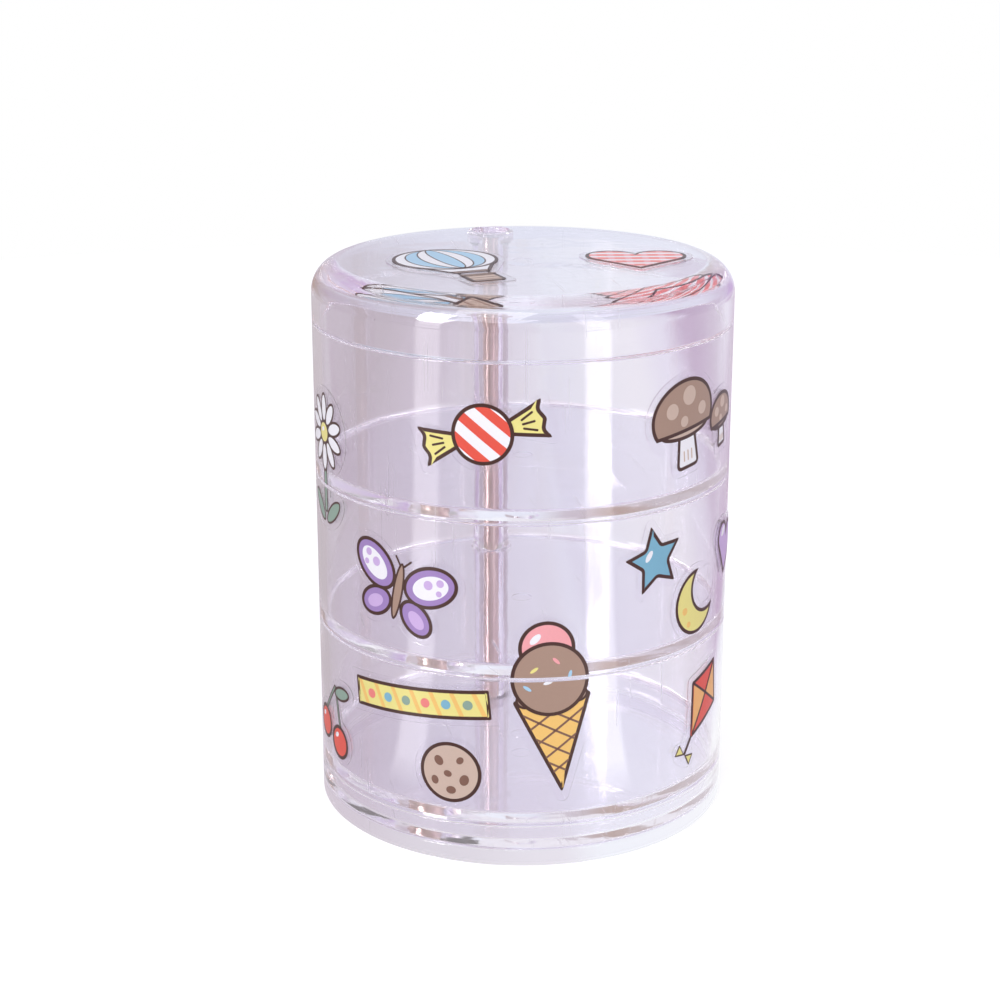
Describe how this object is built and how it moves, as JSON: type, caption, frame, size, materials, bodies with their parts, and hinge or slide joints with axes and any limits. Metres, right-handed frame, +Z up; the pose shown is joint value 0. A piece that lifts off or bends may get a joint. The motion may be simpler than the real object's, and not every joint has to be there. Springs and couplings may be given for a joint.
{
  "type": "rotating cosmetic organizer",
  "caption": "Clear round stack box: a shallow base, equal trays and a lid that swing out about one rod near the rear edge, with printed stickers outside.",
  "frame": {"origin": "on the table under the middle of the round base, at the bottom of its skirt", "axes": "+Z up along the rod; +Y from the middle towards the rod at the rear; the front with most stickers faces -Y"},
  "size_m": [0.1002, 0.1002, 0.1334],
  "materials": {
    "clear_plastic": "clear moulded polystyrene, polished",
    "rod_metal": "bright drawn rod with a warm bronze tone",
    "fastener_metal": "bright zinc plate",
    "printed_film": null
  },
  "bodies": {
    "base": {"base": "clear_plastic", "pivot_rod": "rod_metal", "rod_washer": "fastener_metal", "rod_nut": "fastener_metal"},
    "tray_lower": {"tray_lower": "clear_plastic", "sticker_ribbon": "printed_film", "sticker_cookie": "printed_film", "sticker_cherries": "printed_film", "sticker_kite": "printed_film", "sticker_cone_foot": "printed_film"},
    "tray_middle": {"tray_middle": "clear_plastic", "sticker_cone_top": "printed_film", "sticker_butterfly": "printed_film", "sticker_star": "printed_film", "sticker_moon": "printed_film", "sticker_heart": "printed_film", "sticker_daisy_foot": "printed_film"},
    "tray_upper": {"tray_upper": "clear_plastic", "sticker_daisy_top": "printed_film", "sticker_sweet": "printed_film", "sticker_mushrooms": "printed_film"},
    "lid": {"lid": "clear_plastic", "sticker_balloon": "printed_film", "sticker_big_heart": "printed_film"}
  },
  "joints": [
    {"name": "lid_swing", "type": "hinge", "parent": "base", "child": "lid", "pos_m": [0, 0.0395, 0.1198], "axis": [0, 0, 1], "continuous": true},
    {"name": "tray_upper_swing", "type": "hinge", "parent": "base", "child": "tray_upper", "pos_m": [0, 0.0395, 0.0832], "axis": [0, 0, 1], "continuous": true},
    {"name": "tray_middle_swing", "type": "hinge", "parent": "base", "child": "tray_middle", "pos_m": [0, 0.0395, 0.0466], "axis": [0, 0, 1], "continuous": true},
    {"name": "tray_lower_swing", "type": "hinge", "parent": "base", "child": "tray_lower", "pos_m": [0, 0.0395, 0.01], "axis": [0, 0, 1], "continuous": true}
  ]
}
